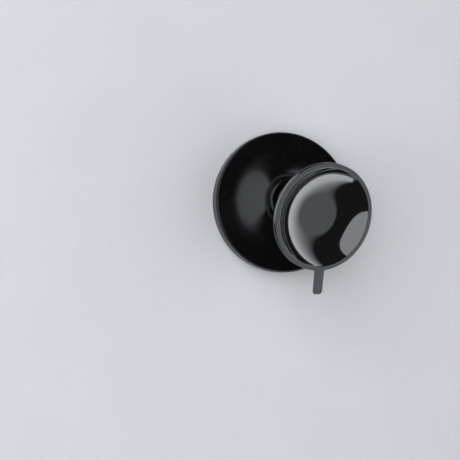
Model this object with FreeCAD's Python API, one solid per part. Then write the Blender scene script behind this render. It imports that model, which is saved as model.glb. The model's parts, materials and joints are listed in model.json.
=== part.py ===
import FreeCAD, Part
import math
import os

# Magnetic grip with a suction cup on a ball joint, in millimetres, standing on its contact pad, +Z up.

# Layers of the puck, counted up from the contact face
PAD_THICK = 0.6
FILM_THICK = 0.15
COVER_THICK = 0.55
MAGNET_THICK = 2.4
YOKE_THICK = 0.7
ROOF_THICK = 1.6
PAD_PROUD = 0.35

# Puck outline
BASE_RADIUS = 28.0
RIM_BEVEL_WIDTH = 0.5
RIM_BEVEL_HEIGHT = 0.8
RIM_ROUND = 0.3
FACE_WIDTH = 5.5
SKIRT_ROUND = 0.25
SKIRT_WALL = 0.9
COVER_LEDGE = 0.3
DIVIDER_WALL = 0.9

# Magnet ring
MAGNET_COUNT = 16
MAGNET_WIDTH = 4.0
MAGNET_SPACING = 0.25

# Ball, its socket and its seat
BALL_RADIUS = 7.0
STEM_RADIUS = 3.3
TILT_LIMIT = 25.0
MOUTH_MARGIN = 4.0
MOUTH_LAND = 0.4
MOUTH_ROUND = 0.9
MOUTH_FLARE_ANGLE = 60.0
COLLAR_WALL = 1.6
TUBE_WALL = 2.25
SEAT_WALL = 1.5
SEAT_FLOOR = 1.0
SEAT_DROP = 3.0

# What loads the seat
SPRING_HEIGHT = 0.65
SPRING_SHEET = 0.35
SPRING_INNER = 4.0
SPRING_OUTER = 7.6
PLATE_THICK = 1.0
PLATE_MARGIN = 2.0

# Fasteners and stiffening of the puck
SCREW_COUNT = 3
SCREW_INSET = 4.0
SCREW_RADIUS = 1.0
SCREW_HEAD_RADIUS = 1.9
SCREW_HEAD_DEPTH = 0.9
SCREW_LENGTH = 3.8
DRIVE_LENGTH = 2.0
DRIVE_WIDTH = 0.45
DRIVE_DEPTH = 0.5
BOSS_WALL = 1.25
RIB_THICK = 1.2

# Suction cup, measured along the head's own axis from the ball centre
LIP_HEIGHT = 29.5
CUP_RADIUS = 21.0
LIP_WIDTH = 1.6
LIP_RING = 0.6
GROOVE_HEIGHT = 0.6
GROOVE_DEPTH = 0.9
FLANGE_THICK = 1.2
FLANGE_ROUND = 0.75
LIP_ROUND = 0.3
LIP_ROLL = 0.3
BOWL_DEPTH = 5.5
BOWL_FLAT_RADIUS = 7.7
BOWL_WALL = 1.8
BOWL_FLOOR = 1.4
CUP_BOSS_WALL = 2.4
CUP_BOSS_ROUND = 0.8

# Pull tab
TAB_LENGTH = 9.4
TAB_ROOT_WIDTH = 4.2
TAB_TIP_WIDTH = 4.1
TAB_TIP_ROUND = 1.4
TAB_EDGE_ROUND = 0.25
TAB_ROOT_ROUND = 0.8
TAB_HEADING = -88.5

# Core and threaded insert inside the cup
CORE_RADIUS = 8.0
CORE_THICK = 2.0
CORE_BACKING = 1.2
CORE_BOSS_LENGTH = 3.6
CORE_BOSS_WALL = 1.9
INSERT_RADIUS = 3.5
INSERT_COVER = 1.0

# Stud shank and neck
SHANK_RADIUS = 2.5
SHANK_END_GAP = 0.3
NECK_GAP = 4.4
NECK_RADIUS = 6.0
NECK_ROUND = 0.9
NECK_STRAIGHT = 2.2
HUB_WALL = 1.4
HUB_FLOOR = 1.3
HUB_SEAT = 1.6
HUB_ROUND = 0.7

# Rest position of the head
REST_TILT = 19.0
REST_HEADING = -57.0

# Clearances
RUN_CLEAR = 0.05
SLIP_CLEAR = 0.1
SCREW_CLEAR = 0.05
SEAT_LIFT = 0.15

# Radii that follow from the fits
CHANNEL_OUTER = BASE_RADIUS - SKIRT_WALL
MAGNET_OUTER = CHANNEL_OUTER - SLIP_CLEAR
MAGNET_INNER = MAGNET_OUTER - MAGNET_WIDTH
CHANNEL_INNER = MAGNET_INNER - SLIP_CLEAR
POCKET_OUTER = CHANNEL_INNER - DIVIDER_WALL
PLATE_RADIUS = POCKET_OUTER - PLATE_MARGIN
SCREW_CIRCLE = PLATE_RADIUS - SCREW_INSET
RECESS_RADIUS = CHANNEL_OUTER + COVER_LEDGE
COVER_RADIUS = RECESS_RADIUS - SLIP_CLEAR
FLARE_RADIUS = BASE_RADIUS - FACE_WIDTH
SOCKET_RADIUS = BALL_RADIUS + RUN_CLEAR
COLLAR_RADIUS = SOCKET_RADIUS + COLLAR_WALL
SEAT_RADIUS = BALL_RADIUS + SEAT_WALL
SEAT_BORE = SEAT_RADIUS + RUN_CLEAR
SOCKET_TUBE = SEAT_BORE + TUBE_WALL
PILOT_RADIUS = SCREW_RADIUS + SCREW_CLEAR
BOSS_RADIUS = PILOT_RADIUS + BOSS_WALL
CORE_BOSS_RADIUS = INSERT_RADIUS + CORE_BOSS_WALL
CUP_BOSS_RADIUS = CORE_RADIUS + CUP_BOSS_WALL
HUB_RADIUS = CUP_BOSS_RADIUS + SLIP_CLEAR + HUB_WALL

# Mouth of the socket: wide enough for the stem at full tilt
MOUTH_HALF = math.radians(TILT_LIMIT + MOUTH_MARGIN) + math.asin(STEM_RADIUS / SOCKET_RADIUS)
THROAT_RADIUS = SOCKET_RADIUS * math.sin(MOUTH_HALF)
THROAT_RISE = SOCKET_RADIUS * math.cos(MOUTH_HALF)

# Levels of the base
COVER_BACK = PAD_THICK + FILM_THICK
COVER_FRONT = COVER_BACK + COVER_THICK
YOKE_BACK = COVER_FRONT + MAGNET_THICK
ROOF_BACK = YOKE_BACK + YOKE_THICK
RIM_TOP = ROOF_BACK + ROOF_THICK
PLATE_FRONT = COVER_FRONT + PLATE_THICK
SEAT_BACK = PLATE_FRONT + SPRING_HEIGHT + RUN_CLEAR
BALL_HEIGHT = SEAT_BACK + SEAT_FLOOR + SOCKET_RADIUS
SEAT_FRONT = BALL_HEIGHT - SEAT_DROP
MOUTH_TOP = BALL_HEIGHT + THROAT_RISE + MOUTH_LAND

# Levels of the head, along its own axis
NECK_START = THROAT_RISE + MOUTH_LAND + NECK_GAP
BOWL_BOTTOM = LIP_HEIGHT - BOWL_DEPTH
LIP_INNER = CUP_RADIUS - LIP_WIDTH
RING_BACK = LIP_HEIGHT - LIP_RING
FLANGE_FRONT = RING_BACK - GROOVE_HEIGHT
LIP_BACK = FLANGE_FRONT - FLANGE_THICK
GROOVE_RADIUS = CUP_RADIUS - GROOVE_DEPTH
CORE_FRONT = BOWL_BOTTOM - BOWL_FLOOR
CORE_BACK = CORE_FRONT - CORE_THICK
HUB_TOP = CORE_BACK - CORE_BACKING
HUB_RIM_TOP = HUB_TOP + HUB_SEAT
CORE_BOSS_BACK = CORE_BACK - CORE_BOSS_LENGTH
INSERT_FRONT = CORE_FRONT - INSERT_COVER

UP = FreeCAD.Vector(0, 0, 1)
ORIGIN = FreeCAD.Vector(0, 0, 0)


def at(r, z):
    return FreeCAD.Vector(r, 0, z)


def line(a, b):
    return Part.LineSegment(a, b).toShape()


def quarter(start, corner, end):
    # Quarter of an ellipse that leaves start towards corner and arrives at end from corner
    curve = Part.BezierCurve()
    curve.setPoles([start, corner, end])
    curve.setWeight(2, math.sqrt(0.5))
    return curve.toShape()


def spin(edges, angle=360.0):
    face = Part.Face(Part.Wire(edges))
    return face.revolve(ORIGIN, UP, angle)


def spin_points(points, angle=360.0):
    corners = [at(r, z) for r, z in points]
    edges = [line(corners[i - 1], corners[i]) for i in range(len(corners))]
    return spin(Part.sortEdges(edges)[0], angle)


def disc(radius, low, high):
    return Part.makeCylinder(radius, high - low, at(0, low))


def tube(inner, outer, low, high):
    return disc(outer, low, high).cut(disc(inner, low, high))


def turned(shape, angle):
    copy = shape.copy()
    copy.rotate(ORIGIN, UP, angle)
    return copy


def around(shape, count, first=90.0):
    return [turned(shape, first + 360.0 * i / count) for i in range(count)]


def rims_at(shape, radius, height):
    # Circular edges about the axis at this radius and height
    found = []
    for edge in shape.Edges:
        circle = edge.Curve
        if isinstance(circle, Part.Circle):
            same_radius = abs(circle.Radius - radius) < 1e-3
            if same_radius and abs(circle.Center.z - height) < 1e-3:
                found.append(edge)
    return found


def posed(shape):
    # Moves a piece from the head's own axis to its rest position on the base
    heading = math.radians(REST_HEADING)
    lean_axis = FreeCAD.Vector(-math.sin(heading), math.cos(heading), 0)
    copy = shape.copy()
    copy.rotate(ORIGIN, lean_axis, REST_TILT)
    copy.translate(at(0, BALL_HEIGHT))
    return copy


# Base shell

def shell_blank():
    side_low = at(BASE_RADIUS, PAD_PROUD + SKIRT_ROUND)
    side_high = at(BASE_RADIUS, RIM_TOP - RIM_BEVEL_HEIGHT)
    skirt = at(BASE_RADIUS - SKIRT_ROUND, PAD_PROUD)
    face_edge = at(BASE_RADIUS - RIM_BEVEL_WIDTH, RIM_TOP)
    flare_low = at(FLARE_RADIUS, RIM_TOP)
    flare_high = at(COLLAR_RADIUS, MOUTH_TOP - MOUTH_ROUND)
    mouth_edge = at(COLLAR_RADIUS - MOUTH_ROUND, MOUTH_TOP)
    edges = [
        line(at(0, PAD_PROUD), skirt),
        quarter(skirt, at(BASE_RADIUS, PAD_PROUD), side_low),
        line(side_low, side_high),
        line(side_high, face_edge),
        line(face_edge, flare_low),
        quarter(flare_low, at(COLLAR_RADIUS, RIM_TOP), flare_high),
        quarter(flare_high, at(COLLAR_RADIUS, MOUTH_TOP), mouth_edge),
        line(mouth_edge, at(0, MOUTH_TOP)),
        line(at(0, MOUTH_TOP), at(0, PAD_PROUD)),
    ]
    blank = spin(edges)
    return blank.makeFillet(RIM_ROUND, rims_at(blank, face_edge.x, RIM_TOP))


def shell_pocket():
    # Annular hollow between socket tube and divider, less the screw bosses and ribs that stay in it
    roof = quarter(
        at(POCKET_OUTER, ROOF_BACK),
        at(SOCKET_TUBE, ROOF_BACK),
        at(SOCKET_TUBE, SEAT_FRONT),
    )
    edges = [
        line(at(SOCKET_TUBE, PLATE_FRONT), at(POCKET_OUTER, PLATE_FRONT)),
        line(at(POCKET_OUTER, PLATE_FRONT), at(POCKET_OUTER, ROOF_BACK)),
        roof,
        line(at(SOCKET_TUBE, SEAT_FRONT), at(SOCKET_TUBE, PLATE_FRONT)),
    ]
    pocket = spin(edges)
    boss = Part.makeCylinder(BOSS_RADIUS, SEAT_FRONT, at(SCREW_CIRCLE, 0))
    rib = Part.makeBox(POCKET_OUTER, RIB_THICK, SEAT_FRONT, FreeCAD.Vector(0, -RIB_THICK / 2, 0))
    kept = around(boss, SCREW_COUNT) + around(rib, SCREW_COUNT, 90.0 + 180.0 / SCREW_COUNT)
    return pocket.cut(kept)


def socket_cut():
    ball_space = Part.makeSphere(SOCKET_RADIUS, at(0, BALL_HEIGHT))
    spread = MOUTH_LAND * math.tan(math.radians(MOUTH_FLARE_ANGLE))
    throat = at(0, BALL_HEIGHT + THROAT_RISE)
    mouth = Part.makeCone(THROAT_RADIUS, THROAT_RADIUS + spread, MOUTH_LAND, throat)
    bore = disc(SEAT_BORE, COVER_FRONT, SEAT_FRONT + SEAT_LIFT)
    return ball_space.fuse([mouth, bore])


def make_base_shell():
    recess = disc(RECESS_RADIUS, PAD_PROUD, COVER_FRONT)
    plate_space = disc(POCKET_OUTER, COVER_FRONT, PLATE_FRONT)
    channel = tube(CHANNEL_INNER, CHANNEL_OUTER, COVER_FRONT, ROOF_BACK)
    pilot = disc(PILOT_RADIUS, COVER_FRONT, COVER_FRONT + SCREW_LENGTH + SLIP_CLEAR)
    pilot.translate(at(SCREW_CIRCLE, 0))
    cuts = [recess, plate_space, channel, shell_pocket(), socket_cut()]
    return shell_blank().cut(cuts + around(pilot, SCREW_COUNT))


# Pieces inside and under the puck

def make_contact_pad():
    pad = disc(COVER_RADIUS, 0, PAD_THICK)
    return pad.makeFillet(PAD_PROUD / 2, [e for e in pad.Edges if e.BoundBox.ZMax < PAD_THICK / 2])


def make_magnet(index):
    pitch = 360.0 / MAGNET_COUNT
    spacing = math.degrees(MAGNET_SPACING / MAGNET_OUTER)
    arc = spin_points(
        [
            (MAGNET_INNER, COVER_FRONT),
            (MAGNET_OUTER, COVER_FRONT),
            (MAGNET_OUTER, YOKE_BACK),
            (MAGNET_INNER, YOKE_BACK),
        ],
        pitch - spacing,
    )
    return turned(arc, index * pitch + spacing / 2)


def screw_blank(radius, head_radius, length):
    head = Part.makeCone(head_radius, radius, SCREW_HEAD_DEPTH, at(SCREW_CIRCLE, COVER_FRONT))
    shank = Part.makeCylinder(radius, length, at(SCREW_CIRCLE, COVER_FRONT))
    return head.fuse(shank).removeSplitter()


def make_retainer_screws():
    screw = screw_blank(SCREW_RADIUS, SCREW_HEAD_RADIUS, SCREW_LENGTH)
    for turn in (0, 90):
        corner = FreeCAD.Vector(-DRIVE_LENGTH / 2, -DRIVE_WIDTH / 2, COVER_FRONT)
        slot = turned(Part.makeBox(DRIVE_LENGTH, DRIVE_WIDTH, DRIVE_DEPTH, corner), turn)
        slot.translate(at(SCREW_CIRCLE, 0))
        screw = screw.cut(slot)
    return Part.Compound(around(screw, SCREW_COUNT))


def make_retainer_plate():
    hole = screw_blank(PILOT_RADIUS, SCREW_HEAD_RADIUS + SCREW_CLEAR, SCREW_LENGTH)
    plate = disc(PLATE_RADIUS, COVER_FRONT, PLATE_FRONT)
    return plate.cut(around(hole, SCREW_COUNT))


def make_friction_spring():
    top = PLATE_FRONT + SPRING_HEIGHT
    return spin_points(
        [
            (SPRING_INNER, top - SPRING_SHEET),
            (SPRING_OUTER, PLATE_FRONT),
            (SPRING_OUTER, PLATE_FRONT + SPRING_SHEET),
            (SPRING_INNER, top),
        ]
    )


def make_ball_seat():
    seat = disc(SEAT_RADIUS, SEAT_BACK, SEAT_FRONT)
    return seat.cut(Part.makeSphere(SOCKET_RADIUS, at(0, BALL_HEIGHT)))


# Head, built upright with the ball centre at the origin

def make_ball_stud():
    ball = Part.makeSphere(BALL_RADIUS)
    stem = disc(STEM_RADIUS, 0, NECK_START)
    shank = disc(SHANK_RADIUS, 0, INSERT_FRONT - SHANK_END_GAP)
    return ball.fuse([stem, shank]).removeSplitter()


def make_neck_hub():
    foot = at(NECK_RADIUS - NECK_ROUND, NECK_START)
    neck_low = at(NECK_RADIUS, NECK_START + NECK_ROUND)
    neck_high = at(NECK_RADIUS, NECK_START + NECK_STRAIGHT)
    under = HUB_TOP - HUB_FLOOR
    under_rim = at(HUB_RADIUS - HUB_ROUND, under)
    rim_low = at(HUB_RADIUS, under + HUB_ROUND)
    rim_high = at(HUB_RADIUS, HUB_RIM_TOP - HUB_ROUND)
    rim_edge = at(HUB_RADIUS - HUB_ROUND, HUB_RIM_TOP)
    bore = SHANK_RADIUS + SLIP_CLEAR
    pocket = CORE_BOSS_RADIUS + SLIP_CLEAR
    seat = CUP_BOSS_RADIUS + SLIP_CLEAR
    inside = [
        (seat, HUB_RIM_TOP),
        (seat, HUB_TOP),
        (pocket, HUB_TOP),
        (pocket, CORE_BOSS_BACK),
        (bore, CORE_BOSS_BACK),
        (bore, NECK_START),
    ]
    inner = [at(r, z) for r, z in inside]
    edges = [
        line(inner[-1], foot),
        quarter(foot, at(NECK_RADIUS, NECK_START), neck_low),
        line(neck_low, neck_high),
        quarter(neck_high, at(NECK_RADIUS, under), under_rim),
        quarter(under_rim, at(HUB_RADIUS, under), rim_low),
        line(rim_low, rim_high),
        quarter(rim_high, at(HUB_RADIUS, HUB_RIM_TOP), rim_edge),
        line(rim_edge, inner[0]),
    ]
    edges += [line(inner[i], inner[i + 1]) for i in range(len(inner) - 1)]
    return spin(edges)


def make_cup_core():
    plate = disc(CORE_RADIUS, CORE_BACK, CORE_FRONT)
    boss = disc(CORE_BOSS_RADIUS, CORE_BOSS_BACK, CORE_BACK)
    pocket = disc(INSERT_RADIUS, CORE_BOSS_BACK, INSERT_FRONT)
    return plate.fuse(boss).removeSplitter().cut(pocket)


def make_core_insert():
    return tube(SHANK_RADIUS + SCREW_CLEAR, INSERT_RADIUS, CORE_BOSS_BACK, INSERT_FRONT)


def bowl_arc(radius, centre_r, centre_z, start_r, end_r, side=-1):
    # Arc below its centre, or above it where side is 1
    def on_circle(r):
        return at(r, centre_z + side * math.sqrt(radius ** 2 - (r - centre_r) ** 2))

    middle = on_circle((start_r + end_r) / 2)
    return Part.Arc(on_circle(start_r), middle, on_circle(end_r)).toShape()


def cup_revolve():
    # The bowl wall leaves the flat tangentially and rolls over into the lip face; the back follows the wall
    run = LIP_INNER - BOWL_FLAT_RADIUS
    both_arcs = (run ** 2 + BOWL_DEPTH ** 2) / (2 * BOWL_DEPTH)
    bowl = both_arcs - LIP_ROLL
    steepest = BOWL_FLAT_RADIUS + bowl * run / both_arcs
    centre = BOWL_BOTTOM + bowl
    back = bowl + BOWL_WALL
    skirt = BOWL_FLAT_RADIUS + math.sqrt(back ** 2 - (centre - LIP_BACK) ** 2)
    boss_top = centre - math.sqrt(back ** 2 - (CUP_BOSS_RADIUS - BOWL_FLAT_RADIUS) ** 2)
    wall = bowl_arc(bowl, BOWL_FLAT_RADIUS, centre, BOWL_FLAT_RADIUS, steepest)
    roll = bowl_arc(LIP_ROLL, LIP_INNER, LIP_HEIGHT - LIP_ROLL, steepest, LIP_INNER, 1)
    rear = bowl_arc(back, BOWL_FLAT_RADIUS, centre, CUP_BOSS_RADIUS, skirt)
    edges = [
        line(at(0, BOWL_BOTTOM), at(BOWL_FLAT_RADIUS, BOWL_BOTTOM)),
        wall,
        roll,
        line(at(LIP_INNER, LIP_HEIGHT), at(CUP_RADIUS, LIP_HEIGHT)),
        line(at(CUP_RADIUS, LIP_HEIGHT), at(CUP_RADIUS, RING_BACK)),
        line(at(CUP_RADIUS, RING_BACK), at(GROOVE_RADIUS, RING_BACK)),
        line(at(GROOVE_RADIUS, RING_BACK), at(GROOVE_RADIUS, FLANGE_FRONT)),
        line(at(GROOVE_RADIUS, FLANGE_FRONT), at(CUP_RADIUS, FLANGE_FRONT)),
        line(at(CUP_RADIUS, FLANGE_FRONT), at(CUP_RADIUS, LIP_BACK)),
        line(at(CUP_RADIUS, LIP_BACK), at(skirt, LIP_BACK)),
        rear,
        line(at(CUP_BOSS_RADIUS, boss_top), at(CUP_BOSS_RADIUS, HUB_TOP)),
        line(at(CUP_BOSS_RADIUS, HUB_TOP), at(0, HUB_TOP)),
        line(at(0, HUB_TOP), at(0, BOWL_BOTTOM)),
    ]
    cup = spin(edges)
    outer = rims_at(cup, CUP_RADIUS, LIP_BACK) + rims_at(cup, CUP_RADIUS, LIP_HEIGHT)
    cup = cup.makeFillet(LIP_ROUND, outer)
    cup = cup.makeFillet(FLANGE_ROUND, rims_at(cup, CUP_RADIUS, FLANGE_FRONT))
    return cup.makeFillet(CUP_BOSS_ROUND, rims_at(cup, CUP_BOSS_RADIUS, boss_top))


def make_tab():
    # Tapered strip whose root widens into the lip
    half_root = TAB_ROOT_WIDTH / 2
    half_tip = TAB_TIP_WIDTH / 2
    half_foot = half_root + TAB_ROOT_ROUND
    root = CUP_RADIUS - LIP_WIDTH / 2
    foot = math.sqrt(CUP_RADIUS ** 2 - half_foot ** 2) - LIP_ROUND
    flank = foot + LIP_ROUND + TAB_ROOT_ROUND
    tip = CUP_RADIUS + TAB_LENGTH

    def flat(x, y):
        return FreeCAD.Vector(x, y, RING_BACK)

    edges = [
        line(flat(root, half_foot), flat(root, -half_foot)),
        line(flat(root, -half_foot), flat(foot, -half_foot)),
        quarter(flat(foot, -half_foot), flat(foot, -half_root), flat(flank, -half_root)),
        line(flat(flank, -half_root), flat(tip, -half_tip)),
        line(flat(tip, -half_tip), flat(tip, half_tip)),
        line(flat(tip, half_tip), flat(flank, half_root)),
        quarter(flat(flank, half_root), flat(foot, half_root), flat(foot, half_foot)),
        line(flat(foot, half_foot), flat(root, half_foot)),
    ]
    tab = Part.Face(Part.Wire(edges)).extrude(UP * LIP_RING)
    corners = [e for e in tab.Edges if e.BoundBox.XMin > tip - 1e-3 and e.BoundBox.ZLength > 1e-3]
    tab = tab.makeFillet(TAB_TIP_ROUND, corners)
    rims = [e for e in tab.Edges if e.BoundBox.XMax > flank + 1e-3 and e.BoundBox.ZLength < 1e-3]
    return tab.makeFillet(TAB_EDGE_ROUND, rims)


def make_suction_cup():
    cup = cup_revolve()
    tab = turned(make_tab(), TAB_HEADING)
    core_space = disc(CORE_RADIUS, CORE_BACK, CORE_FRONT)
    boss_space = disc(CORE_BOSS_RADIUS + SLIP_CLEAR, HUB_TOP, CORE_BACK)
    return cup.fuse(tab).removeSplitter().cut([core_space, boss_space])


def main():
    os.makedirs("parts", exist_ok=True)
    pieces = {
        "base_shell": make_base_shell(),
        "back_cover": disc(COVER_RADIUS, COVER_BACK, COVER_FRONT),
        "pad_adhesive": disc(CHANNEL_OUTER, PAD_THICK, COVER_BACK),
        "contact_pad": make_contact_pad(),
        "yoke_ring": tube(MAGNET_INNER, MAGNET_OUTER, YOKE_BACK, ROOF_BACK),
        "retainer_plate": make_retainer_plate(),
        "retainer_screws": make_retainer_screws(),
        "friction_spring": make_friction_spring(),
        "ball_seat": make_ball_seat(),
        "ball_stud": posed(make_ball_stud()),
        "neck_hub": posed(make_neck_hub()),
        "cup_core": posed(make_cup_core()),
        "core_insert": posed(make_core_insert()),
        "suction_cup": posed(make_suction_cup()),
    }
    for index in range(MAGNET_COUNT):
        pieces[f"magnet_{index + 1:02d}"] = make_magnet(index)
    for name, shape in pieces.items():
        shape.exportStep(os.path.join("parts", name + ".step"))


main()
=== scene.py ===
import json
import math

import bmesh
import bpy
from mathutils import Matrix, Vector


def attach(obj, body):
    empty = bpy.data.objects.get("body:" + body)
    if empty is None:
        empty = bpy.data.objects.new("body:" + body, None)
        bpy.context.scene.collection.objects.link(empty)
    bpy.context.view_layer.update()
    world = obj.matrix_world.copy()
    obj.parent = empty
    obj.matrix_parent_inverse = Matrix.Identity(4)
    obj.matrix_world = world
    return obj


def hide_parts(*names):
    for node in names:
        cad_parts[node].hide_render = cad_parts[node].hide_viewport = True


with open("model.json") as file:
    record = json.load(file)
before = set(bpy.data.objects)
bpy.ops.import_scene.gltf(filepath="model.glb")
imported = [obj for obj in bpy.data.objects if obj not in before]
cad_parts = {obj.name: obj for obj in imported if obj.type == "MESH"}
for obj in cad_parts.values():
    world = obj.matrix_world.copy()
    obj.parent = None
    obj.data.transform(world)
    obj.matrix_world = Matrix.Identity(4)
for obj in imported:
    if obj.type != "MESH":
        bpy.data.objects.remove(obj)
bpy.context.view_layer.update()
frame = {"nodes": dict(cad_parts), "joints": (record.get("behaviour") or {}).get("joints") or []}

mm = 0.001  # every size below is in millimetres
print("frame loaded:", len(frame["nodes"]), "CAD nodes")


# ball centre and lean axis come from the tilt joint, so the head sits where the frame has it
tiltJoint = [joint for joint in frame["joints"] if joint["name"] == "ball_tilt"][0]
ballCentre = Vector(tiltJoint["pos_m"])
restTilt = math.radians(19)
headPose = Matrix.Translation(ballCentre) @ Matrix.Rotation(restTilt, 4, Vector(tiltJoint["axis"]))
ballHeight = ballCentre.z / mm

# levels along the head's own axis, counted from the ball centre
lipTop = 29.5
bowlBottom = lipTop - 5.5  # depth of the bowl
coreFront = bowlBottom - 1.4  # silicone in front of the core
coreBack = coreFront - 2.0  # thickness of the core
hubTop = coreBack - 1.2  # silicone behind the core
coreBossBack = coreBack - 3.6  # length of the core's boss
neckStart = 8.649

# tolerances
nearby = 0.01  # for picking faces and edges by where they lie
weldGap = 0.001  # closer points become one
levelNormal = 0.9999  # faces with more of their normal along z count as level
creaseAngle = math.radians(35)  # sharper edges keep a hard line
cornerAngle = math.radians(30)  # sharper edges get a round


# outline pen: a wire in the XZ plane, r to the right and z up, later spun round the axis
def penDown(bm, r, z):
    return bmesh.ops.create_vert(bm, co=(r * mm, 0, z * mm))["vert"][0]


def penLine(bm, tip, *corners):
    for r, z in corners:
        tip = bmesh.ops.extrude_vert_indiv(bm, verts=[tip])["verts"][0]
        tip.co = (r * mm, 0, z * mm)
    return tip


def penArc(bm, tip, centre, turn, steps, squash=1.0):
    # anticlockwise turn in degrees; squash flattens the circle to an ellipse along z
    middle = Vector((centre[0] * mm, 0, centre[1] * mm))
    tip.co.z = middle.z + (tip.co.z - middle.z) / squash
    before = set(bm.verts)
    swept = bmesh.ops.spin(
        bm, geom=[tip], cent=middle, axis=(0, -1, 0), angle=math.radians(turn), steps=steps
    )
    arc = [v for v in bm.verts if v not in before] + [tip]
    bmesh.ops.scale(bm, vec=(1, 1, squash), space=Matrix.Translation(-middle), verts=arc)
    return [g for g in swept["geom_last"] if isinstance(g, bmesh.types.BMVert)][0]


def latheOutline(bm, steps):
    bmesh.ops.spin(
        bm,
        geom=bm.verts[:] + bm.edges[:],
        cent=(0, 0, 0),
        axis=(0, 0, 1),
        angle=math.tau,
        steps=steps,
        use_merge=True,
    )
    bmesh.ops.remove_doubles(bm, verts=bm.verts, dist=weldGap * mm)
    bmesh.ops.recalc_face_normals(bm, faces=bm.faces)


def finishPiece(bm, name, node, body, finishes):
    for face in bm.faces:
        face.smooth = not face.tag  # tagged faces stay flat
    for edge in bm.edges:
        edge.smooth = edge.calc_face_angle(0) < creaseAngle
    mesh = bpy.data.meshes.new(name)
    bm.to_mesh(mesh)
    bm.free()
    piece = bpy.data.objects.new(name, mesh)
    bpy.context.scene.collection.objects.link(piece)
    for finish in finishes:
        mesh.materials.append(finish)
    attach(piece, body)
    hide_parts(node)
    print("piece", name, "with", len(mesh.polygons), "faces")


# materials
def linearFromHex(code):
    channels = [int(code[i : i + 2], 16) / 255 for i in (1, 3, 5)]
    return [c / 12.92 if c <= 0.04045 else ((c + 0.055) / 1.055) ** 2.4 for c in channels] + [1]


def perMetre(size):
    return 1 / (size * mm)  # texture scale for a feature of this many millimetres


def addNode(tree, kind, settings={}, links={}):
    node = tree.nodes.new(kind)
    for key, value in settings.items():
        if isinstance(key, int) or key in node.inputs:
            node.inputs[key].default_value = value
        else:
            setattr(node, key, value)
    for key, source in links.items():
        tree.links.new(source, node.inputs[key])
    return node


def newFinish(name, settings):
    finish = bpy.data.materials.new(name)
    finish.use_nodes = True
    tree = finish.node_tree
    tree.nodes.clear()
    output = addNode(tree, "ShaderNodeOutputMaterial")
    shader = addNode(tree, "ShaderNodeBsdfPrincipled", settings)
    tree.links.new(shader.outputs[0], output.inputs["Surface"])
    place = addNode(tree, "ShaderNodeTexCoord").outputs["Object"]
    return finish, tree, shader, place


def dressFinish(tree, shader, place, look):
    # broad mottle for colour, finer patches for roughness, grain for the bump
    mottle = addNode(
        tree,
        "ShaderNodeTexNoise",
        {"Scale": perMetre(look["mottle"]), "Detail": 4.0, "Roughness": 0.55},
        {"Vector": place},
    )
    tint = addNode(
        tree,
        "ShaderNodeMix",
        {"data_type": "RGBA", 6: linearFromHex(look["dark"]), 7: linearFromHex(look["light"])},
        {0: mottle.outputs["Fac"]},
    )
    tree.links.new(tint.outputs[2], shader.inputs["Base Color"])
    patches = addNode(
        tree,
        "ShaderNodeTexNoise",
        {"Scale": perMetre(look["patch"]), "Detail": 3.0},
        {"Vector": place},
    )
    gloss = addNode(
        tree,
        "ShaderNodeMapRange",
        {"From Min": 0.3, "From Max": 0.7, "To Min": look["smooth"], "To Max": look["rough"]},
        {"Value": patches.outputs["Fac"]},
    )
    tree.links.new(gloss.outputs["Result"], shader.inputs["Roughness"])
    grain = addNode(
        tree,
        "ShaderNodeTexNoise",
        {"Scale": perMetre(look["grain"]), "Detail": 2.0},
        {"Vector": place},
    )
    bump = addNode(
        tree,
        "ShaderNodeBump",
        {"Strength": look["strength"], "Distance": look["depth"] * mm},
        {"Height": grain.outputs["Fac"]},
    )
    tree.links.new(bump.outputs["Normal"], shader.inputs["Normal"])
    return bump


def plainFinish(name, settings, look):
    finish, tree, shader, place = newFinish(name, settings)
    dressFinish(tree, shader, place, look)
    return finish


def glossAbs():
    # injection-moulded black ABS from a polished tool: deep black with soft wide reflections;
    # IOR below the usual 1.54, because the object mirrors its surroundings only weakly
    look = {
        "dark": "#020202",
        "light": "#050506",
        "mottle": 9.0,
        "patch": 2.5,
        "smooth": 0.18,
        "rough": 0.25,
        "grain": 0.7,
        "depth": 0.01,
        "strength": 0.15,
    }
    return plainFinish("abs_moulded_gloss", {"IOR": 1.36}, look)


def mattSilicone():
    # silicone moulded in a blasted tool: even dark grey, dry to the eye, with a fine grain
    # that kills gloss
    look = {
        "dark": "#333437",
        "light": "#3a3b3f",
        "mottle": 5.0,
        "patch": 1.2,
        "smooth": 0.5,
        "rough": 0.62,
        "grain": 0.22,
        "depth": 0.02,
        "strength": 0.35,
    }
    return plainFinish("silicone_moulded_matt", {"IOR": 1.41}, look)


def polishedSilicone():
    # same silicone against a mirror-polished core: wet black that shows the lights with crisp
    # edges; IOR above the usual 1.41, because the object mirrors them strongly
    look = {
        "dark": "#080808",
        "light": "#0d0d0d",
        "mottle": 6.0,
        "patch": 3.0,
        "smooth": 0.05,
        "rough": 0.09,
        "grain": 1.6,
        "depth": 0.004,
        "strength": 0.1,
    }
    return plainFinish("silicone_moulded_polished", {"IOR": 1.77}, look)


def padSilicone():
    # cast silicone pad: soft dark skin with a faint cell pattern that grips
    look = {
        "dark": "#2a2b2d",
        "light": "#323336",
        "mottle": 7.0,
        "patch": 1.5,
        "smooth": 0.48,
        "rough": 0.6,
        "grain": 0.5,
        "depth": 0.03,
        "strength": 0.3,
    }
    return plainFinish("silicone_cast_pad", {"IOR": 1.41}, look)


def coverSheet():
    # die-cut black polycarbonate sheet: flat with a velvet face
    look = {
        "dark": "#141415",
        "light": "#1b1b1c",
        "mottle": 8.0,
        "patch": 1.0,
        "smooth": 0.42,
        "rough": 0.55,
        "grain": 0.18,
        "depth": 0.015,
        "strength": 0.3,
    }
    return plainFinish("polycarbonate_sheet_velvet", {"IOR": 1.58}, look)


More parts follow.
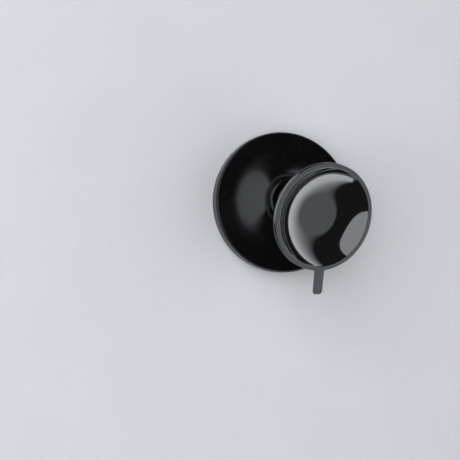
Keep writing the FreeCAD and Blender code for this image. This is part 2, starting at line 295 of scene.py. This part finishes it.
def acrylicFilm():
    # clear acrylic transfer tape on its carrier: milky and faintly yellow at the edge
    look = {
        "dark": "#b9b5a6",
        "light": "#cbc8bc",
        "mottle": 3.0,
        "patch": 1.5,
        "smooth": 0.3,
        "rough": 0.45,
        "grain": 0.4,
        "depth": 0.01,
        "strength": 0.2,
    }
    return plainFinish("acrylic_film_coated", {"IOR": 1.48}, look)


def zincSteel():
    # bright zinc plate on stamped steel: pale metal with cloudy crystal patches
    look = {
        "dark": "#aeb2b8",
        "light": "#cdd0d3",
        "mottle": 2.0,
        "patch": 0.8,
        "smooth": 0.26,
        "rough": 0.42,
        "grain": 0.15,
        "depth": 0.01,
        "strength": 0.2,
    }
    return plainFinish("steel_zinc_plated", {"Metallic": 1.0}, look)


def springSteel():
    # hardened spring strip: grey-brown temper colour under a thin oil film
    look = {
        "dark": "#6f6a62",
        "light": "#8d877c",
        "mottle": 1.5,
        "patch": 0.6,
        "smooth": 0.3,
        "rough": 0.45,
        "grain": 0.12,
        "depth": 0.008,
        "strength": 0.2,
    }
    return plainFinish("steel_tempered_strip", {"Metallic": 1.0}, look)


def nickelMagnet():
    # nickel-plated sintered magnet: warm bright metal, slightly pebbled by the sinter below
    look = {
        "dark": "#b5b0a6",
        "light": "#cdc9c0",
        "mottle": 2.5,
        "patch": 0.7,
        "smooth": 0.18,
        "rough": 0.3,
        "grain": 0.25,
        "depth": 0.01,
        "strength": 0.25,
    }
    return plainFinish("nickel_plate_on_sinter", {"Metallic": 1.0}, look)


def seatAcetal():
    # turned natural acetal: waxy white with a low even sheen
    look = {
        "dark": "#dcdad2",
        "light": "#ebe9e3",
        "mottle": 4.0,
        "patch": 1.2,
        "smooth": 0.3,
        "rough": 0.4,
        "grain": 0.3,
        "depth": 0.01,
        "strength": 0.2,
    }
    return plainFinish("acetal_turned_natural", {"IOR": 1.48}, look)


def filledNylon():
    # glass-filled nylon: black with pale flow streaks and a dry skin
    look = {
        "dark": "#151516",
        "light": "#262628",
        "mottle": 1.8,
        "patch": 0.9,
        "smooth": 0.45,
        "rough": 0.62,
        "grain": 0.2,
        "depth": 0.02,
        "strength": 0.35,
    }
    return plainFinish("nylon_glass_filled", {"IOR": 1.53}, look)


def turnedBrass():
    # free-cutting brass, turned: yellow metal with fine tool lines
    look = {
        "dark": "#b58f3f",
        "light": "#d0ab5c",
        "mottle": 1.5,
        "patch": 0.5,
        "smooth": 0.22,
        "rough": 0.38,
        "grain": 0.15,
        "depth": 0.01,
        "strength": 0.25,
    }
    return plainFinish("brass_turned", {"Metallic": 1.0}, look)


def anodisedAluminium():
    # turned aluminium, black anodised: dark metal whose tool rings catch the lamp in thin arcs
    look = {
        "dark": "#19191b",
        "light": "#232326",
        "mottle": 3.0,
        "patch": 1.0,
        "smooth": 0.24,
        "rough": 0.34,
        "grain": 0.3,
        "depth": 0.006,
        "strength": 0.15,
        "ring": 0.35,  # one radian of the tool rings, so they lie 2.2 mm apart and show
        "ringStrength": 0.2,
        "ringDepth": 0.008,
    }
    finish, tree, shader, place = newFinish("aluminium_turned_anodised", {"Metallic": 0.7})
    bump = dressFinish(tree, shader, place, look)
    upright = headPose.inverted()
    waveTurn = 20  # radians of wave for each unit that the node is given
    alongHead = addNode(
        tree,
        "ShaderNodeMapping",
        {"Location": upright.to_translation(), "Rotation": upright.to_euler()},
        {"Vector": place},
    )
    rings = addNode(
        tree,
        "ShaderNodeTexWave",
        {"bands_direction": "Z", "Scale": perMetre(look["ring"]) / waveTurn, "Distortion": 0.4},
        {"Vector": alongHead.outputs["Vector"]},
    )
    cut = addNode(
        tree,
        "ShaderNodeBump",
        {"Strength": look["ringStrength"], "Distance": look["ringDepth"] * mm},
        {"Height": rings.outputs["Fac"], "Normal": bump.outputs["Normal"]},
    )
    tree.links.new(cut.outputs["Normal"], shader.inputs["Normal"])
    return finish


shellFinish = glossAbs()
mattFinish = mattSilicone()
bowlFinish = polishedSilicone()
padFinish = padSilicone()
studFinish = anodisedAluminium()
print("materials ready")


# base shell: skirt, side, rim round, flare up to the ball socket, then the hollows underneath
def makeBaseShell():
    shell = {
        "radius": 27.99,  # a hair inside the solid, whose facets fall short of the full circle
        "skirtLow": 0.35,
        "skirtRound": 0.25,
        "rimTop": 6.0,
        "bevelWidth": 0.5,
        "bevelHeight": 0.8,
        "rimRound": 0.3,
        "faceWidth": 5.5,
        "collarRadius": 8.65,
        "mouthTop": 15.3,
        "mouthRound": 0.9,
        "throatRadius": 5.907,
        "throatRise": 3.849,
        "mouthRadius": 6.6,
        "socketRadius": 7.05,
        "seatBore": 8.55,
        "seatTop": 8.2,
        "tubeRadius": 10.8,
        "tubeFoot": 2.3,
        "tubeTop": 8.05,
        "pocketRadius": 22.0,
        "roofBack": 4.4,
        "dividerInner": 22.9,
        "channelOuter": 27.1,
        "coverFront": 1.3,
        "recessRadius": 27.4,
        "skirtSteps": 4,
        "rimSteps": 6,
        "flareSteps": 32,
        "mouthSteps": 8,
        "socketSteps": 18,
        "roofSteps": 14,
        "steps": 192,
    }
    bm = bmesh.new()
    sideTop = shell["rimTop"] - shell["bevelHeight"]
    slope = math.atan2(shell["bevelHeight"], shell["bevelWidth"])
    cut = shell["rimRound"] * math.tan(slope / 2)  # from the sharp corner to where its round starts
    faceEdge = shell["radius"] - shell["bevelWidth"]
    roundStart = (faceEdge + cut * math.cos(slope), shell["rimTop"] - cut * math.sin(slope))
    roundCentre = (faceEdge - cut, shell["rimTop"] - shell["rimRound"])
    collarTop = shell["mouthTop"] - shell["mouthRound"]
    collarInner = shell["collarRadius"] - shell["mouthRound"]
    skirtInner = shell["radius"] - shell["skirtRound"]
    tip = penDown(bm, shell["recessRadius"], shell["skirtLow"])
    tip = penLine(bm, tip, (skirtInner, shell["skirtLow"]))
    skirtCentre = (skirtInner, shell["skirtLow"] + shell["skirtRound"])
    tip = penArc(bm, tip, skirtCentre, 90, shell["skirtSteps"])
    tip = penLine(bm, tip, (shell["radius"], sideTop), roundStart)
    tip = penArc(bm, tip, roundCentre, math.degrees(slope), shell["rimSteps"])
    flareStart = shell["radius"] - shell["faceWidth"]
    tip = penLine(bm, tip, (flareStart, shell["rimTop"]))
    flareWide = flareStart - shell["collarRadius"]
    flareTall = collarTop - shell["rimTop"]
    flareCentre = (flareStart, collarTop)
    tip = penArc(bm, tip, flareCentre, -90, shell["flareSteps"], flareTall / flareWide)
    tip = penArc(bm, tip, (collarInner, collarTop), 90, shell["mouthSteps"])
    throat = (shell["throatRadius"], ballHeight + shell["throatRise"])
    tip = penLine(bm, tip, (shell["mouthRadius"], shell["mouthTop"]), throat)
    throatAngle = math.degrees(math.atan2(shell["throatRise"], shell["throatRadius"]))
    seatDrop = ballHeight - shell["seatTop"]
    seatAngle = math.degrees(math.asin(seatDrop / shell["socketRadius"]))
    tip = penArc(bm, tip, (0, ballHeight), -throatAngle - seatAngle, shell["socketSteps"])
    tip = penLine(
        bm,
        tip,
        (shell["seatBore"], shell["seatTop"]),
        (shell["seatBore"], shell["tubeFoot"]),
        (shell["tubeRadius"], shell["tubeFoot"]),
        (shell["tubeRadius"], shell["tubeTop"]),
    )
    roofWide = shell["pocketRadius"] - shell["tubeRadius"]
    roofTall = shell["tubeTop"] - shell["roofBack"]
    roofCentre = (shell["pocketRadius"], shell["tubeTop"])
    tip = penArc(bm, tip, roofCentre, 90, shell["roofSteps"], roofTall / roofWide)
    penLine(
        bm,
        tip,
        (shell["pocketRadius"], shell["coverFront"]),
        (shell["dividerInner"], shell["coverFront"]),
        (shell["dividerInner"], shell["roofBack"]),
        (shell["channelOuter"], shell["roofBack"]),
        (shell["channelOuter"], shell["coverFront"]),
        (shell["recessRadius"], shell["coverFront"]),
        (shell["recessRadius"], shell["skirtLow"]),
    )
    latheOutline(bm, shell["steps"])
    finishPiece(bm, "baseShell", "base_shell", "base", [shellFinish])


# contact pad: soft disc with a rounded lower edge
def makeContactPad():
    pad = {"radius": 27.3, "thick": 0.6, "edgeRound": 0.175, "edgeSteps": 5, "steps": 160}
    bm = bmesh.new()
    inner = pad["radius"] - pad["edgeRound"]
    tip = penDown(bm, 0, 0)
    tip = penLine(bm, tip, (inner, 0))
    tip = penArc(bm, tip, (inner, pad["edgeRound"]), 90, pad["edgeSteps"])
    penLine(bm, tip, (pad["radius"], pad["thick"]), (0, pad["thick"]))
    latheOutline(bm, pad["steps"])
    finishPiece(bm, "contactPad", "contact_pad", "base", [padFinish])


# ball stud: ball, stem and shank turned from one bar
def makeBallStud():
    stud = {
        "ballRadius": 7.0,
        "stemRadius": 3.3,
        "shankRadius": 2.5,
        "shankTop": coreFront - 1.3,
        "chamfer": 0.4,
        "ballSteps": 48,
        "steps": 128,
    }
    bm = bmesh.new()
    stemAngle = math.degrees(math.acos(stud["stemRadius"] / stud["ballRadius"]))
    tip = penDown(bm, 0, -stud["ballRadius"])
    tip = penArc(bm, tip, (0, 0), 90 + stemAngle, stud["ballSteps"])
    penLine(
        bm,
        tip,
        (stud["stemRadius"], neckStart),
        (stud["shankRadius"], neckStart),
        (stud["shankRadius"], stud["shankTop"] - stud["chamfer"]),
        (stud["shankRadius"] - stud["chamfer"], stud["shankTop"]),
        (0, stud["shankTop"]),
    )
    latheOutline(bm, stud["steps"])
    bmesh.ops.transform(bm, matrix=headPose, verts=bm.verts)
    finishPiece(bm, "ballStud", "ball_stud", "head", [studFinish])


# neck and hub: round foot, short neck, flare to the rim that the cup sits in
def makeNeckHub():
    hub = {
        "neckRadius": 6.0,
        "footRound": 0.9,
        "neckStraight": 2.2,
        "under": hubTop - 1.3,
        "rimRadius": 11.9,
        "rimRound": 0.7,
        "rimTop": hubTop + 1.6,
        "seatRadius": 10.5,
        "bossRadius": 5.5,
        "bore": 2.6,
        "roundSteps": 6,
        "flareSteps": 24,
        "steps": 160,
    }
    bm = bmesh.new()
    footInner = hub["neckRadius"] - hub["footRound"]
    rimInner = hub["rimRadius"] - hub["rimRound"]
    neckTop = neckStart + hub["neckStraight"]
    tip = penDown(bm, hub["bore"], neckStart)
    tip = penLine(bm, tip, (footInner, neckStart))
    tip = penArc(bm, tip, (footInner, neckStart + hub["footRound"]), 90, hub["roundSteps"])
    tip = penLine(bm, tip, (hub["neckRadius"], neckTop))
    flareWide = rimInner - hub["neckRadius"]
    flareTall = hub["under"] - neckTop
    rimFoot = hub["under"] + hub["rimRound"]
    rimHead = hub["rimTop"] - hub["rimRound"]
    tip = penArc(bm, tip, (rimInner, neckTop), -90, hub["flareSteps"], flareTall / flareWide)
    tip = penArc(bm, tip, (rimInner, rimFoot), 90, hub["roundSteps"])
    tip = penLine(bm, tip, (hub["rimRadius"], rimHead))
    tip = penArc(bm, tip, (rimInner, rimHead), 90, hub["roundSteps"])
    penLine(
        bm,
        tip,
        (hub["seatRadius"], hub["rimTop"]),
        (hub["seatRadius"], hubTop),
        (hub["bossRadius"], hubTop),
        (hub["bossRadius"], coreBossBack),
        (hub["bore"], coreBossBack),
        (hub["bore"], neckStart),
    )
    latheOutline(bm, hub["steps"])
    bmesh.ops.transform(bm, matrix=headPose, verts=bm.verts)
    finishPiece(bm, "neckHub", "neck_hub", "head", [shellFinish])


# suction cup: polished bowl and back, matt lip, pull tab drawn out of the lip's outer wall
def makeSuctionCup():
    cup = {
        "flatRadius": 7.7,
        "lipInner": 19.4,
        "lipOuter": 21.0,
        "ringBack": lipTop - 0.6,
        "grooveRadius": 20.1,
        "flangeFront": lipTop - 1.2,
        "lipBack": lipTop - 2.4,
        "lipRound": 0.31,
        "backRound": 0.2,
        "flangeRound": 0.75,
        "roll": 0.3,  # radius over which the bowl turns into the lip's face
        "wall": 1.8,
        "bossRadius": 10.4,
        "bossFillet": 0.8,
        "coreHole": 5.5,
        "coreRadius": 8.0,
        "bowlSteps": 40,
        "rollSteps": 5,
        "backSteps": 24,
        "steps": 183,
    }
    tab = {
        "length": 9.4,
        "heading": -88.5,
        "lipFaces": 7,  # faces of the lip wall that make the foot, 5 mm wide
        "rootHalf": 2.1,
        "tipHalf": 2.05,
        "rootRound": 0.8,
        "rootOut": 0.8,  # share of the root's round that lies outside the lip
        "rootFirst": 3,  # step of the root's round that the tab starts from
        "tipRound": 1.4,
        "tipShare": 0.9,  # share of the tip's round that the last section takes off
        "roundSteps": 6,
    }

    def onLip(place):
        behind = (cup["ringBack"] - nearby) * mm
        return place.xy.length > cup["lipInner"] * mm and place.z > behind

    bm = bmesh.new()
    run = cup["lipInner"] - cup["flatRadius"]
    depth = lipTop - bowlBottom
    bothArcs = (run**2 + depth**2) / (2 * depth)
    bowlRadius = bothArcs - cup["roll"]
    centreZ = bowlBottom + bowlRadius
    bowlCentre = (cup["flatRadius"], centreZ)
    backRadius = bowlRadius + cup["wall"]
    skirt = cup["flatRadius"] + math.sqrt(backRadius**2 - (centreZ - cup["lipBack"]) ** 2)
    lipTurn = math.degrees(math.asin(run / bothArcs))
    skirtTurn = math.degrees(math.asin((skirt - cup["flatRadius"]) / backRadius))
    bossTurn = math.degrees(math.asin((cup["bossRadius"] - cup["flatRadius"]) / backRadius))
    tip = penDown(bm, 0, bowlBottom)
    tip = penLine(bm, tip, (cup["flatRadius"], bowlBottom))
    tip = penArc(bm, tip, bowlCentre, lipTurn, cup["bowlSteps"])
    rollCentre = (cup["lipInner"], lipTop - cup["roll"])
    tip = penArc(bm, tip, rollCentre, -lipTurn, cup["rollSteps"])
    tip = penLine(
        bm,
        tip,
        (cup["lipOuter"], lipTop),
        (cup["lipOuter"], cup["ringBack"]),
        (cup["grooveRadius"], cup["ringBack"]),
        (cup["grooveRadius"], cup["flangeFront"]),
        (cup["lipOuter"], cup["flangeFront"]),
        (cup["lipOuter"], cup["lipBack"]),
        (skirt, cup["lipBack"]),
    )
    tip = penArc(bm, tip, bowlCentre, bossTurn - skirtTurn, cup["backSteps"])
    penLine(
        bm,
        tip,
        (cup["bossRadius"], hubTop),
        (cup["coreHole"], hubTop),
        (cup["coreHole"], coreBack),
        (cup["coreRadius"], coreBack),
        (cup["coreRadius"], coreFront),
        (0, coreFront),
    )
    latheOutline(bm, cup["steps"])

    # turn the cup so that a lip face looks straight along the tab
    heading = math.radians(tab["heading"])
    halfStep = math.pi / cup["steps"]
    turn = Matrix.Rotation(heading - halfStep, 3, "Z")
    bmesh.ops.rotate(bm, cent=(0, 0, 0), matrix=turn, verts=bm.verts)
    along = Vector((math.cos(heading), math.sin(heading), 0))
    side = Vector((-along.y, along.x, 0))
    reach = tab["lipFaces"] * halfStep * cup["lipOuter"] * mm
    root = []
    for face in bm.faces:
        middle = face.calc_center_median()
        outside = middle.xy.length > (cup["lipOuter"] - nearby) * mm
        onWall = outside and middle.z > cup["ringBack"] * mm
        if onWall and middle.dot(along) > 0 and abs(middle.dot(side)) < reach:
            root.append(face)

    # half widths of the tab on its way out: root fillet, straight flanks, round tip
    tipEnd = cup["lipOuter"] + tab["length"]
    flankStart = cup["lipOuter"] + tab["rootRound"] * tab["rootOut"]
    flankEnd = tipEnd - tab["tipRound"]
    sections = []
    for step in range(tab["rootFirst"], tab["roundSteps"] + 1):
        angle = math.pi / 2 * step / tab["roundSteps"]
        spread = tab["rootRound"] * (1 - math.sin(angle))
        sections.append((flankStart - tab["rootRound"] * math.cos(angle), tab["rootHalf"] + spread))
    for step in range(tab["roundSteps"]):
        angle = math.pi / 2 * step / tab["roundSteps"]
        shrink = tab["tipRound"] * (1 - math.cos(angle))
        sections.append((flankEnd + tab["tipRound"] * math.sin(angle), tab["tipHalf"] - shrink))
    sections.append((tipEnd, tab["tipHalf"] - tab["tipRound"] * tab["tipShare"]))
    ends = root
    for out, half in sections:
        grown = bmesh.ops.extrude_face_region(bm, geom=ends)["geom"]
        bmesh.ops.delete(bm, geom=ends, context="FACES")
        ends = [g for g in grown if isinstance(g, bmesh.types.BMFace)]
        corners = [g for g in grown if isinstance(g, bmesh.types.BMVert)]
        widest = max(abs(v.co.dot(side)) for v in corners)
        sectionPlace = Matrix.Translation(along * out * mm) @ Matrix.Rotation(heading, 4, "Z")
        narrow = (0, half * mm / widest, 1)
        bmesh.ops.scale(bm, vec=narrow, space=sectionPlace.inverted(), verts=corners)
        if len(ends) > 1:
            # the foot's many columns end here: from now on the tab is one face wide
            outer = [v for v in corners if abs(v.co.dot(side)) > (half - nearby) * mm]
            targets = {}
            for column in corners:
                if column not in outer:
                    targets[column] = min(outer, key=lambda v: (v.co - column.co).length)
            bmesh.ops.weld_verts(bm, targetmap=targets)
            ends = [f for f in ends if f.is_valid]
    bmesh.ops.recalc_face_normals(bm, faces=bm.faces)
    bm.normal_update()

    # front and back of the foot become one flat face each, so that the rounds can eat into them
    footSwing = (tab["lipFaces"] - 0.5) * halfStep
    flats = []
    for face in bm.faces:
        middle = face.calc_center_median()
        swing = abs(math.atan2(middle.dot(side), middle.dot(along)))
        atFoot = swing < footSwing and middle.dot(along) < sections[0][0] * mm
        if atFoot and onLip(middle) and abs(face.normal.z) > levelNormal:
            flats.append(face)
    bmesh.ops.dissolve_faces(bm, faces=flats, use_verts=False)
    bm.normal_update()

    # small round on every lip and tab edge, larger fillet where the bowl meets its boss
    outerBand = 0.1  # only edges this near to the lip's circle, or beyond it, get a lip round
    rims = []
    backs = []
    beads = []
    fillets = []
    for edge in bm.edges:
        a, b = [v.co for v in edge.verts]
        low = min(a.z, b.z) / mm
        level = abs(a.z - b.z) < nearby * mm
        sharp = edge.calc_face_angle(0) > cornerAngle
        if level and sharp and low > cup["lipBack"] - nearby:
            onFlange = abs(low - cup["flangeFront"]) < nearby
            onBack = abs(low - cup["ringBack"]) < nearby
            if a.xy.length / mm > cup["lipOuter"] - outerBand:
                (beads if onFlange else backs if onBack else rims).append(edge)
        onBoss = abs(a.xy.length / mm - cup["bossRadius"]) < nearby
        if level and sharp and onBoss and low > hubTop + nearby:
            fillets.append(edge)
    rounds = (
        (rims, "lipRound", 4),
        (backs, "backRound", 3),
        (beads, "flangeRound", 6),
        (fillets, "bossFillet", 6),
    )
    for edges, size, segments in rounds:
        bmesh.ops.bevel(
            bm,
            geom=edges,
            offset=cup[size] * mm,
            offset_type="OFFSET",
            affect="EDGES",
            segments=segments,
            profile=0.5,
            material=-1,
        )
    bmesh.ops.triangulate(bm, faces=[f for f in bm.faces if len(f.verts) > 4])
    for face in bm.faces:
        matt = onLip(face.calc_center_median())
        face.material_index = 0 if matt else 1
        face.tag = matt and abs(face.normal.z) > levelNormal
    bmesh.ops.transform(bm, matrix=headPose, verts=bm.verts)
    finishes = [mattFinish, bowlFinish]
    finishPiece(bm, "suctionCup", "suction_cup", "head", finishes)


makeBaseShell()
makeContactPad()
makeBallStud()
makeNeckHub()
makeSuctionCup()


# CAD nodes inside the puck and the head keep their own meshes
magnetFinish = nickelMagnet()
steelFinish = zincSteel()
innerFinishes = {
    "back_cover": coverSheet(),
    "pad_adhesive": acrylicFilm(),
    "yoke_ring": steelFinish,
    "retainer_plate": steelFinish,
    "retainer_screws": steelFinish,
    "friction_spring": springSteel(),
    "ball_seat": seatAcetal(),
    "cup_core": filledNylon(),
    "core_insert": turnedBrass(),
}
for name, node in frame["nodes"].items():
    finish = magnetFinish if name.startswith("magnet_") else innerFinishes.get(name)
    if finish:
        node.data.materials.clear()
        node.data.materials.append(finish)
print("inner nodes dressed:", len(innerFinishes), "kinds and the magnets")


# floor, light and camera
def paleFloor():
    # smooth painted board: pale neutral grey with a faint roller mottle
    look = {
        "dark": "#c0c0c0",
        "light": "#c7c7c7",
        "mottle": 30.0,
        "patch": 12.0,
        "smooth": 0.55,
        "rough": 0.65,
        "grain": 1.0,
        "depth": 0.01,
        "strength": 0.1,
    }
    return plainFinish("board_painted_pale", {"IOR": 1.45}, look)


def makeFloor():
    floor = {"radius": 260.0, "steps": 128}
    bm = bmesh.new()
    bmesh.ops.create_circle(bm, cap_ends=True, segments=floor["steps"], radius=floor["radius"] * mm)
    mesh = bpy.data.meshes.new("floor")
    bm.to_mesh(mesh)
    bm.free()
    board = bpy.data.objects.new("floor", mesh)
    bpy.context.scene.collection.objects.link(board)
    mesh.materials.append(paleFloor())


coolWhite = linearFromHex("#f7f9ff")


def lightRoom():
    # dim room with a wide wall of light on the right: full at the foot, fading upwards to nothing
    room = {
        "dim": 0.05,
        "glow": 4.0,
        "heading": -10.0,
        "fullBelow": 18.0,
        "goneAbove": 50.0,
        "sideEdge": (0.03, 0.1),  # the wall's sides fade in over this range
        "lowerEdge": (-0.218, -0.175, 1.0),  # slanted foot of the wall
        "lowerEdgeDrop": -0.11,
        "lowerEdgeBlur": 0.02,
    }
    world = bpy.data.worlds.new("studio")
    bpy.context.scene.world = world
    world.use_nodes = True
    tree = world.node_tree
    tree.nodes.clear()
    look = addNode(tree, "ShaderNodeTexCoord").outputs["Generated"]
    heading = math.radians(room["heading"])
    ahead = addNode(
        tree,
        "ShaderNodeVectorMath",
        {"operation": "DOT_PRODUCT", 1: (math.cos(heading), math.sin(heading), 0)},
        {0: look},
    ).outputs["Value"]
    rise = addNode(tree, "ShaderNodeSeparateXYZ", {}, {0: look}).outputs["Z"]
    climb = addNode(tree, "ShaderNodeMath", {"operation": "ARCTAN2"}, {0: rise, 1: ahead})
    fade = addNode(
        tree,
        "ShaderNodeMapRange",
        {
            "From Min": math.radians(room["fullBelow"]),
            "From Max": math.radians(room["goneAbove"]),
            "To Min": room["glow"],
            "To Max": 0.0,
        },
        {"Value": climb.outputs["Value"]},
    )
    inFront = addNode(
        tree,
        "ShaderNodeMapRange",
        {"From Min": room["sideEdge"][0], "From Max": room["sideEdge"][1]},
        {"Value": ahead},
    )
    height = addNode(
        tree,
        "ShaderNodeVectorMath",
        {"operation": "DOT_PRODUCT", 1: room["lowerEdge"]},
        {0: look},
    )
    above = addNode(
        tree,
        "ShaderNodeMapRange",
        {
            "From Min": room["lowerEdgeDrop"] - room["lowerEdgeBlur"],
            "From Max": room["lowerEdgeDrop"] + room["lowerEdgeBlur"],
        },
        {"Value": height.outputs["Value"]},
    )
    cut = addNode(
        tree,
        "ShaderNodeMath",
        {"operation": "MULTIPLY"},
        {0: inFront.outputs["Result"], 1: above.outputs["Result"]},
    )
    level = addNode(
        tree,
        "ShaderNodeMath",
        {"operation": "MULTIPLY_ADD", 2: room["dim"]},
        {0: fade.outputs["Result"], 1: cut.outputs["Value"]},
    )
    glow = addNode(
        tree, "ShaderNodeBackground", {"Color": coolWhite}, {"Strength": level.outputs["Value"]}
    )
    addNode(tree, "ShaderNodeOutputWorld", {}, {"Surface": glow.outputs["Background"]})


def hangLamp():
    # tall oval diffuser on the left that reaches over the object
    lamp = {
        "heading": 160.0,
        "height": 44.0,
        "distance": 1200.0,
        "aside": 79.0,
        "drop": 1969.0,
        "wide": 2707.0,
        "tall": 6590.0,
        "level": 2.6,
    }
    heading = math.radians(lamp["heading"])
    height = math.radians(lamp["height"])
    flat = math.cos(height)
    away = Vector((flat * math.cos(heading), flat * math.sin(heading), math.sin(height)))
    side = Vector((0, 0, 1)).cross(away).normalized()
    rise = away.cross(side)
    light = bpy.data.lights.new("diffuser", "AREA")
    light.shape = "ELLIPSE"
    light.size = lamp["wide"] * mm
    light.size_y = lamp["tall"] * mm
    light.color = coolWhite[:3]
    area = math.pi / 4 * light.size * light.size_y
    light.energy = lamp["level"] * math.pi * area
    place = (away * lamp["distance"] + side * lamp["aside"] - rise * lamp["drop"]) * mm
    holder = bpy.data.objects.new("diffuser", light)
    facing = Matrix((side, rise, away)).transposed().to_4x4()
    holder.matrix_world = Matrix.Translation(place) @ facing
    bpy.context.scene.collection.objects.link(holder)


def placeCamera():
    view = {
        "place": (-222.7, -50.4, 665.4),
        "target": (-20.64, -11.19, 0.0),
        "lens": 137.06,
        "sensor": 36.0,
        "clipStart": 10.0,
    }
    place = Vector(view["place"]) * mm
    back = (place - Vector(view["target"]) * mm).normalized()
    right = Vector((0, 1, 0)).cross(back).normalized()
    up = back.cross(right)
    camera = bpy.data.objects.new("camera", bpy.data.cameras.new("camera"))
    camera.data.lens = view["lens"]
    camera.data.sensor_width = view["sensor"]
    camera.data.clip_start = view["clipStart"] * mm
    facing = Matrix((right, up, back)).transposed().to_4x4()
    camera.matrix_world = Matrix.Translation(place) @ facing
    bpy.context.scene.collection.objects.link(camera)
    bpy.context.scene.camera = camera


makeFloor()
lightRoom()
hangLamp()
placeCamera()
bpy.context.scene.view_settings.view_transform = "Standard"
print("floor, light and camera ready")
